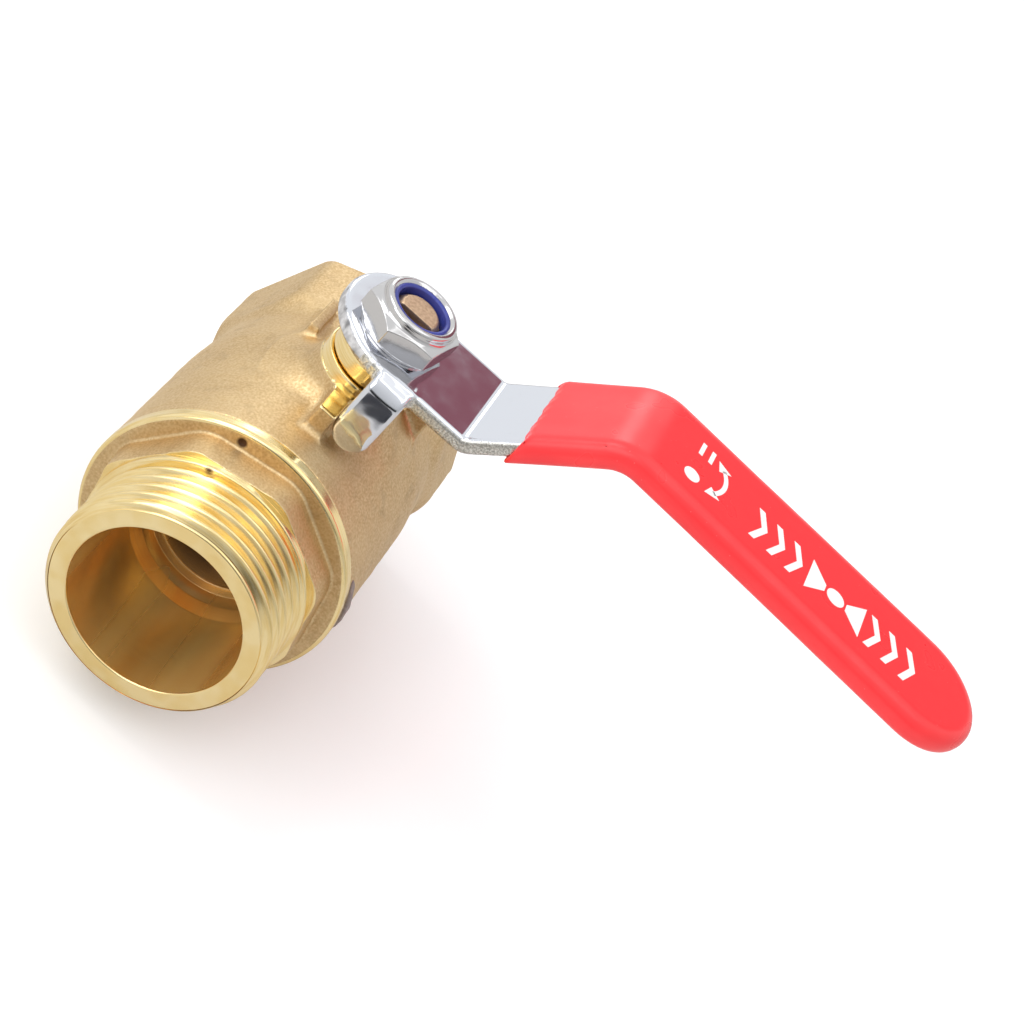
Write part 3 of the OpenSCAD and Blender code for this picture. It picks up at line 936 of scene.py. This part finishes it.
def stem_screw(x, y, z):
    """M8 end of the stem, with the flat that drives the lever."""
    end_z = stem_high[2]
    rz = np.hypot(x, y)
    threaded = thread_radius(z, np.arctan2(y, x), M8_R, M8_PITCH, 1)
    point = POINT_R - np.clip(z - end_z + 0.55, 0, 1)
    share = ease(z, end_z - 1.5, end_z - 1.1)
    screw = (rz - threaded * (1 - share) - point * share) * 0.7
    screw = blend_max(screw, between(z, 29, end_z), 0.15)
    flat_x = FLAT_X - FLAT_DEPTH * ease(z, 35.5, 35.8)
    return blend_max(screw, np.minimum(x - flat_x, z - JOURNAL_TOP) + 0 * y, 0.12)


def stem_field(x, y, z):
    """Blade, collar and grooved journal below the M8 end."""
    rz = np.hypot(x, y)
    blade = blend_max(between(x, -BLADE_X, BLADE_X), between(y, -BLADE_Y, BLADE_Y), 0.3)
    blade = np.maximum(blade, between(z, stem_low[2], BLADE_TOP))
    collar = blend_max(rz - COLLAR_R, between(z, STEM_FOOT, COLLAR_TOP), 0.3)
    journal = blend_max(rz - JOURNAL_R, between(z, STEM_FOOT, JOURNAL_TOP), 0.3)
    groove = np.maximum(between(z, *GROOVE), GROOVE_R - rz)
    solid = np.minimum(np.minimum(blade, collar), np.minimum(journal, stem_screw(x, y, z)))
    return np.maximum(solid, -groove)


def gland_field(x, y, z):
    rz = np.hypot(x, y)
    flats = np.abs(x * math.cos(GLAND_TURN) + y * math.sin(GLAND_TURN)) - GLAND_HALF_FLATS
    head = blend_max(blend_max(rz - GLAND_HEAD_R, between(z, *GLAND_HEAD), 0.6), flats, 0.15)
    shank = blend_max(rz - GLAND_SHANK_R, between(z, *GLAND_SHANK), 0.2)
    return np.maximum(np.minimum(head, shank), GLAND_HOLE_R - rz)


# ---- lock nut

NUT_TURN = math.radians(47)
NUT_AF = 13
NUT_FACE_R, NUT_CROWN_R = 6.35, 6.2
NUT_COLLAR_R = 5.84
NUT_MOUTH_R = 4.6
NUT_HOLE_R = 4.02
POCKET_R = 5.2
INSERT_R, INSERT_HOLE_R = 5.18, 3.95
CONE_RISE, CONE_RUN = 0.87, 0.5


def nut_field(x, y, z):
    """Hexagon with chamfered corners under a round collar that holds the insert."""
    rz = np.hypot(x, y)
    foot, top = nut_low[2], nut_high[2]
    hexagon = polygon_field(x, y, NUT_AF, 6, NUT_TURN, 0.12)
    hexagon = blend_max(hexagon, between(z, foot + 0.2, foot + 4.6), 0.1)
    crown = (rz - NUT_CROWN_R) * CONE_RUN + (z - foot - 4.4) * CONE_RISE
    foot_cone = (rz - NUT_FACE_R) * CONE_RUN - (z - foot - 0.4) * CONE_RISE
    hexagon = blend_max(blend_max(hexagon, crown, 0.12), foot_cone, 0.12)
    face = blend_max(rz - NUT_FACE_R, between(z, foot, foot + 1), 0.15)
    collar = blend_max(rz - NUT_COLLAR_R, between(z, foot + 1, top), 0.8)
    solid = blend_min(np.minimum(hexagon, face), collar, 0.5)
    pocket = blend_max(rz - POCKET_R, between(z, insert_low[2], insert_high[2]), 0.1)
    mouth = rz - NUT_MOUTH_R - 1.15 * np.clip(z - top + 0.35, 0, 1)
    mouth = np.maximum(mouth, insert_low[2] - z)
    hollow = np.minimum(rz - NUT_HOLE_R, np.minimum(pocket, mouth))
    return blend_max(solid, -hollow, 0.1)


def make_insert():
    """Nylon ring, pushed up by the stem's thread."""
    low, high = insert_low[2] + 0.02, insert_high[2] - 0.02
    outside = [(low, NUT_HOLE_R, 0.05), (low, INSERT_R, 0.1), (high, INSERT_R, 0.1), (high, 4.66, 0.1)]
    inside = [(high + 0.16, 4.34, 0.25), (high - 0.05, INSERT_HOLE_R, 0.2),
              (low + 0.6, INSERT_HOLE_R, 0.05), (low + 0.4, NUT_HOLE_R, 0.05)]
    profile = outside + inside
    ring("insert_nylon", "nylon_insert", NYLON, profile, "z", "lever_group")


# ---- lever and sleeve

def run(point, way):
    """How far a point of the y, z plane lies along a direction."""
    return point[0] * way[0] + point[1] * way[1]


def from_plate(y, z):
    """Height above the middle of the bent plate, measured across it."""
    flat = z - LEVER_MID
    at1 = y - BEND1[0], z - BEND1[1]
    at2 = y - BEND2[0], z - BEND2[1]
    first = BEND1_R - np.hypot(*at1)
    crank = run(at1, CRANK_UP) + BEND1_R
    second = np.hypot(*at2) - BEND2_R
    grip = run(at2, GRIP_UP) - BEND2_R
    height = np.where(run(at2, GRIP_DIR) > 0, grip, second)
    height = np.where(run(at2, CRANK_DIR) > 0, height, crank)
    height = np.where(run(at1, CRANK_DIR) > 0, height, first)
    return np.where(at1[0] > 0, height, flat)


HUB_X, HUB_Y, HUB_R = -2.25, 1.85, 11.8
HUB_CUT_X = -11.6
TIP_Y = 86


def lever_plan(x, y, grow):
    """Plan outline of the blank, let out by grow."""
    half = 9.4 - 0.7 * ease(y, 12, 32) + 0.4 * ease(y, 40, TIP_Y) + grow
    reach = GRIP_TIP - SLEEVE_T + grow - TIP_Y
    tip = (np.hypot(x / half, (y - TIP_Y) / reach) - 1) * half
    arm = np.where(y > TIP_Y, tip, np.abs(x) - half)
    arm = np.maximum(arm, -y)
    hub = blend_max(np.hypot(x - HUB_X, y - HUB_Y) - HUB_R, HUB_CUT_X - x, 1.0)
    hub = blend_max(hub, (y - 2 - (20 - x) * 0.102) * 0.995, 0.5)
    hub = blend_max(hub, (y - x - 14.4) * 0.707, 1.0)
    return blend_min(arm, hub - grow, 1.0)


TAB_MIDDLE = 4.1
TAB_HALF = 2.9
FOLD_X = 8.9
FOLD_Z = LEVER_TOP - LEVER_T - 0.9
FOLD_R = 0.9 + LEVER_T / 2
TAB_LEAN = math.radians(9)
HOLE_R, HOLE_FLAT_X = 4.1, 2.75


def tab_across(x, z):
    """Distance from the middle of the folded tab's plate, which leans out a little."""
    u = (x - FOLD_X) * math.cos(TAB_LEAN) + (z - FOLD_Z) * math.sin(TAB_LEAN)
    w = (z - FOLD_Z) * math.cos(TAB_LEAN) - (x - FOLD_X) * math.sin(TAB_LEAN)
    upright = np.abs(u - FOLD_R + 0.008 * np.minimum(w, 0) ** 2)
    bend = np.abs(np.hypot(x - FOLD_X, z - FOLD_Z) - FOLD_R)
    across = np.where(w < 0, upright, bend)
    level = np.abs(z - LEVER_MID) + 0.35 * (FOLD_X - x)
    return np.where((x < FOLD_X) & (z >= FOLD_Z), level, across)


def lever_tab(x, y, z):
    """Stop tab folded down at the hub's edge, slightly crowned by the fold."""
    crown = 0.08 * ((y - TAB_MIDDLE) / TAB_HALF) ** 2
    across = tab_across(x, z) - LEVER_T / 2 + crown + 0.012 * ripple(x, y, z, 2.2, 8)
    across = np.where((x < FOLD_X) & (z < FOLD_Z), 1.2 + 0 * y, across)
    end_z = lever_low[2] + TAB_HALF
    past_end = np.hypot(y - TAB_MIDDLE, z - end_z)
    sides = np.where(z < end_z, past_end, np.abs(y - TAB_MIDDLE)) - TAB_HALF
    return np.maximum(blend_max(across, sides, 0.8), 5 - x)


def lever_blank(x, y, z):
    """Bent plate of the lever, without its tab."""
    return blend_max(np.abs(from_plate(y, z)) - LEVER_T / 2, lever_plan(x, y, 0), 0.9)


def lever_field(x, y, z):
    """Whole lever, with the D-shaped hole for the stem."""
    solid = blend_min(lever_blank(x, y, z), lever_tab(x, y, z), 0.8)
    hole = np.maximum(np.hypot(x, y) - HOLE_R, x - HOLE_FLAT_X)
    return np.maximum(solid, -np.maximum(hole, between(z, 20, 36)))


def lever_zone(x, y, z):
    """0 on the faces, 1 on the torn edges of the blank and 2 on the hub's edge, with its painted
    reflection streaks.
    """
    on_blank = np.abs(lever_blank(x, y, z)) < 0.2
    on_tab = np.abs(lever_tab(x, y, z)) < 0.2
    blank_side = on_blank & (np.abs(from_plate(y, z)) < LEVER_T / 2 - 0.22)
    tab_side = on_tab & (tab_across(x, z) < LEVER_T / 2 - 0.55)
    edge = (blank_side | tab_side) & (np.hypot(x, y) > 4.5)
    hub = (y < 2) & (x < FOLD_X)
    return np.where(edge, np.where(hub, 2, 1), 0)


def sleeve_field(x, y, z):
    """Skin round the grip, with the uneven edge that dipping leaves at its mouth."""
    height = np.abs(from_plate(y, z)) - LEVER_T / 2
    outer = blend_max(height - SLEEVE_T, lever_plan(x, y, SLEEVE_T), 2.4)
    inner = np.maximum(height - FIT, lever_plan(x, y, FIT))
    mouth = SLEEVE_START - y + 0.06 * np.sin(x * 0.9) + 0.05 * np.sin(x * 2.3 + z)
    skin = blend_max(outer, mouth, 0.6)
    return np.maximum(skin, -inner)


# ---- print on the sleeve

INK_T = 0.05
INK_SUNK = 0.04
OPEN_MARK, SHUT_MARK = (42.2, 3.0), (41.6, -4.0)
ARROW, ARROW_R, ARROW_SWEEP = (41.5, -0.6), 5.2, 38
ROW_MIDDLE, ROW_HALF = -1.4, 3.6
CHEVRONS = (52.6, 56.0, 59.4, 74.6, 78.0, 81.4)
VALVE_SIGN = 68.4


def on_grip(points):
    """Places (along, across) points of the print on the sleeve's top; along runs to the tip."""
    along, across = np.array(points, float).T
    up = BEND2_R + LEVER_T / 2 + SLEEVE_T
    base = BEND2 + np.outer((along - BEND2[0]) / GRIP_DIR[0], GRIP_DIR) + up * GRIP_UP
    return np.stack([-across, base[:, 0], base[:, 1]], 1)


def prism(outline):
    """Closed slab of ink over an outline; returns its vertices and faces."""
    top = on_grip(outline)
    lift = np.array([0, *GRIP_UP])
    n = len(outline)
    vertices = np.concatenate([top - INK_SUNK * lift, top + INK_T * lift])
    faces = [list(range(n))[::-1], [n + i for i in range(n)]]
    faces += [[i, (i + 1) % n, n + (i + 1) % n, n + i] for i in range(n)]
    return vertices, faces


def ribbon(points, width):
    """Outline of a line of constant width through points, with square ends."""
    p = np.array(points, float)
    way = np.gradient(p, axis=0)
    way /= np.linalg.norm(way, axis=1, keepdims=True)
    side = np.stack([-way[:, 1], way[:, 0]], 1) * width / 2
    return [*(p + side), *(p - side)[::-1]]


def arc_point(centre, radius, degrees):
    a = np.radians(degrees)
    return centre[0] + radius * math.cos(a), centre[1] + radius * math.sin(a)


def arc_points(centre, radius, a0, a1):
    return [arc_point(centre, radius, a) for a in np.linspace(a0, a1, 24)]


def position_marks():
    """Bars for open, a disc for shut, and the arc between them with its two arrow heads."""
    shapes = []
    for shift in (-0.9, 0.9):
        x = OPEN_MARK[0] + shift
        shapes.append(ribbon([(x, OPEN_MARK[1] - 1.5), (x, OPEN_MARK[1] + 1.5)], 0.7))
    shapes.append(arc_points(SHUT_MARK, 1.35, 0, 345))
    shapes.append(ribbon(arc_points(ARROW, ARROW_R, -ARROW_SWEEP, ARROW_SWEEP), 0.75))
    for turn in (1, -1):
        end = turn * ARROW_SWEEP
        foot = [arc_point(ARROW, radius, end - turn * 4) for radius in (4.1, 6.4)]
        shapes.append([arc_point(ARROW, ARROW_R, end + turn * 20), *foot])
    return shapes


def symbol_row():
    """Chevrons on both sides of a pipework diagram's valve symbol."""
    low, high = ROW_MIDDLE - ROW_HALF, ROW_MIDDLE + ROW_HALF
    shapes = []
    for x in CHEVRONS:
        shapes.append([(x, low), (x + 1.1, low), (x + 2.6, ROW_MIDDLE),
                       (x + 1.1, high), (x, high), (x + 1.5, ROW_MIDDLE)])
    for side in (-1, 1):
        wide, narrow = VALVE_SIGN + side * 5.2, VALVE_SIGN + side * 2.0
        shapes.append([(wide, ROW_MIDDLE - ROW_HALF * side), (wide, ROW_MIDDLE + ROW_HALF * side),
                       (narrow, ROW_MIDDLE + 0.75 * side), (narrow, ROW_MIDDLE - 0.75 * side)])
    shapes.append(arc_points((VALVE_SIGN, ROW_MIDDLE), 1.6, 0, 345))
    return shapes


def make_print():
    vertices, faces = [], []
    for outline in position_marks() + symbol_row():
        if twice_area(outline) < 0:
            outline = list(outline)[::-1]
        v, f = prism(outline)
        faces += [[len(vertices) + i for i in face] for face in f]
        vertices += list(v)
    mesh = bpy.data.meshes.new("grip_print")
    mesh.from_pydata([tuple((p + CENTRE) * MM) for p in vertices], [], faces)
    mesh.update()
    add_piece(mesh, "lever_group", None, [INK])


# ---- dark smear on the body joint

SMEAR_ANGLE, SMEAR_HALF = 16, 13.5
SMEAR_WIDTH = 0.85


def dark_smear_field(x, y, z):
    """Dark lens-shaped lump on the edge of the body joint."""
    r = np.hypot(y, z)
    angle = np.degrees(np.arctan2(z, y))
    off = angle - SMEAR_ANGLE
    width = SMEAR_WIDTH * np.sqrt(np.clip(1 - (off / SMEAR_HALF) ** 2, 0, 1))
    middle = JOINT_X - SMEAR_WIDTH - 0.1 * np.sin(angle * 0.5)
    height = BARREL_R + 0.02 + 0.62 * width + 0.08 * ripple(x, y, z, 1.5, 5)
    lump = blend_max(r - height, np.abs(x - middle) - width, 0.25)
    lump = np.maximum(lump, np.abs(off) * 0.35 - 13.0 * 0.35)
    return np.maximum(lump, BARREL_R - 0.25 - r)


# ---- stage

CAMERA_PLACE = (0.22622, -0.00422, 0.20600)
CAMERA_BACK = (0.8204, -0.1021, 0.5625)
CAMERA_UP = (-0.4775, -0.6636, 0.5760)
CAMERA_LENS = 79.6
AIM = Vector((-0.03, 0.03, 0.01))


def make_camera():
    """Camera fitted to the photograph's perspective."""
    camera = bpy.data.objects.new("camera", bpy.data.cameras.new("camera"))
    bpy.context.scene.collection.objects.link(camera)
    camera.data.lens = CAMERA_LENS
    camera.data.sensor_width = 36
    camera.data.clip_start = 0.01
    camera.data.clip_end = 20
    back = Vector(CAMERA_BACK).normalized()
    up = Vector(CAMERA_UP)
    up = (up - back * up.dot(back)).normalized()
    turn = Matrix((up.cross(back), up, back)).transposed()
    camera.matrix_world = Matrix.Translation(CAMERA_PLACE) @ turn.to_4x4()
    bpy.context.scene.camera = camera


def make_light(name, location, size, radiance):
    """Square soft box of a given radiance, aimed at the valve."""
    light = bpy.data.lights.new(name, "AREA")
    light.size = size
    light.energy = radiance * math.pi * size ** 2
    lamp = bpy.data.objects.new(name, light)
    lamp.location = location
    lamp.rotation_euler = (AIM - Vector(location)).to_track_quat("-Z", "Y").to_euler()
    bpy.context.scene.collection.objects.link(lamp)


def make_world():
    """White room with a dark strip beyond the male end, a dark patch overhead and a ruddy one."""
    world = bpy.data.worlds.new("studio")
    world.use_nodes = True
    tree = world.node_tree
    place = tree.nodes.new("ShaderNodeTexCoord").outputs["Generated"]

    def towards(direction):
        unit = Vector(direction).normalized()
        return vector_node(tree, "DOT_PRODUCT", place, unit).outputs["Value"]

    def smooth(value, v0, v1, low, high):
        return map_range(tree, value, v0, v1, low, high, curve="SMOOTHSTEP")

    sky = smooth(towards((-0.55, -0.50, 0.67)), -0.8, 0.8, 0.55, 1.0)
    ahead = smooth(towards((1, 0.25, 0)), 0.86, 0.97, 0, 1)
    level = smooth(math_node(tree, "ABSOLUTE", towards((0, 0, 1))), 0.10, 0.28, 1, 0)
    strip = math_node(tree, "MULTIPLY", ahead, level)
    overhead = smooth(towards((0.08, 0.1, 1)), 0.966, 0.988, 0, 0.8)
    light = smooth(math_node(tree, "MAXIMUM", strip, overhead), 0, 1, 1, 0.04)
    ruddy = smooth(towards((-0.80, 0.29, 0.547)), 0.957, 0.963, 0, 1)
    background = tree.nodes["Background"]
    colour = mix_node(tree, ruddy, (0.98, 0.99, 1), (0.31, 0.12, 0.15))
    tree.links.new(colour, background.inputs["Color"])
    tree.links.new(math_node(tree, "MULTIPLY", sky, light), background.inputs["Strength"])
    bpy.context.scene.world = world


FLOOR_REACH = 3.0
WHITE, BLACK = (1.0, 1.0, 1.0), (0.0, 0.0, 0.0)


def floor_material():
    """Pale with a faint glow, but darker and without the glow in reflections."""
    s = Shader("pale_floor", Roughness=0.7)
    s.surface.inputs["Specular IOR Level"].default_value = 0.1
    s.surface.inputs["Emission Strength"].default_value = 0.14
    front = s.ramp(s.along("X"), 85.0, 105.0)
    sideways = s.math("ABSOLUTE", s.math("SUBTRACT", s.along("Y"), 25.0))
    front = s.math("MULTIPLY", front, s.ramp(sideways, 45.0, 65.0, 1.0, 0.0))
    mirrored = s.mix(front, (0.66, 0.65, 0.63), (0.03, 0.03, 0.035))
    pale = s.mix(s.noise(60.0, 2.0), (0.90, 0.90, 0.91), (0.93, 0.93, 0.93))
    reflected = s.tree.nodes.new("ShaderNodeLightPath").outputs["Is Glossy Ray"]
    s.colour(s.mix(reflected, pale, mirrored))
    s.link(s.mix(reflected, WHITE, BLACK), s.surface.inputs["Emission Color"])
    return s.material


def make_floor():
    mesh = bpy.data.meshes.new("floor")
    corners = [(-1, -1), (1, -1), (1, 1), (-1, 1)]
    vertices = [(x * FLOOR_REACH, y * FLOOR_REACH, cad_low[2]) for x, y in corners]
    mesh.from_pydata(vertices, [], [(0, 1, 2, 3)])
    mesh.materials.append(floor_material())
    floor = bpy.data.objects.new("floor", mesh)
    bpy.context.scene.collection.objects.link(floor)


make_camera()
make_world()
make_floor()
make_light("key", (-0.05, -0.39, 0.43), 0.25, 3.0)
make_light("top", (0.05, 0.15, 0.70), 0.50, 1.0)
make_light("fill", (0.50, -0.42, 0.45), 0.60, 1.9)
make_light("strip", (-0.55, -0.21, 0.28), 0.15, 2.2)
bpy.context.scene.view_settings.view_transform = "Standard"

field_piece("valve_body_casting", body_field, [FEMALE_FACE, -21.4, -21.4], [JOINT_X, 21.4, BOSS_TOP],
            0.45, "root", "valve_body", [CAST, TURNED_X, TURNED_Z], body_zone)
make_end_connector()
field_piece("ball_plated", ball_field, [-BALL_R] * 3, [BALL_R] * 3,
            0.45, "ball", "ball", [BALL_PLATE])
make_seats()
make_rings()
make_o_ring()
field_piece("stem_turned", stem_field, [-COLLAR_R, -COLLAR_R, stem_low[2]],
            [COLLAR_R, COLLAR_R, stem_high[2]], 0.28, "lever_group", "stem", [STEM])
field_piece("gland_nut_turned", gland_field, [-7.6, -7.6, 25], [7.6, 7.6, 30],
            0.25, "root", "gland_nut", [TURNED_Z])
field_piece("lock_nut_plated", nut_field, [-7.6, -7.6, nut_low[2]], [7.6, 7.6, nut_high[2]],
            0.17, "lever_group", "lock_nut", [NUT_PLATE])
make_insert()
field_piece("lever_plated", lever_field, lever_low, lever_high,
            0.36, "lever_group", "lever", [LEVER_PLATE, EDGE, HUB_EDGE_PAINTED_REFLECTION], lever_zone)
field_piece("sleeve_vinyl", sleeve_field, sleeve_low, sleeve_high,
            0.42, "lever_group", "grip_sleeve", [VINYL])
make_print()
field_piece("dark_smear_lump", dark_smear_field, [JOINT_X - 2, 16, 0.5], [JOINT_X, 21.2, 11.5],
            0.16, "root", "sealant_bead", [DARK_SMEAR])
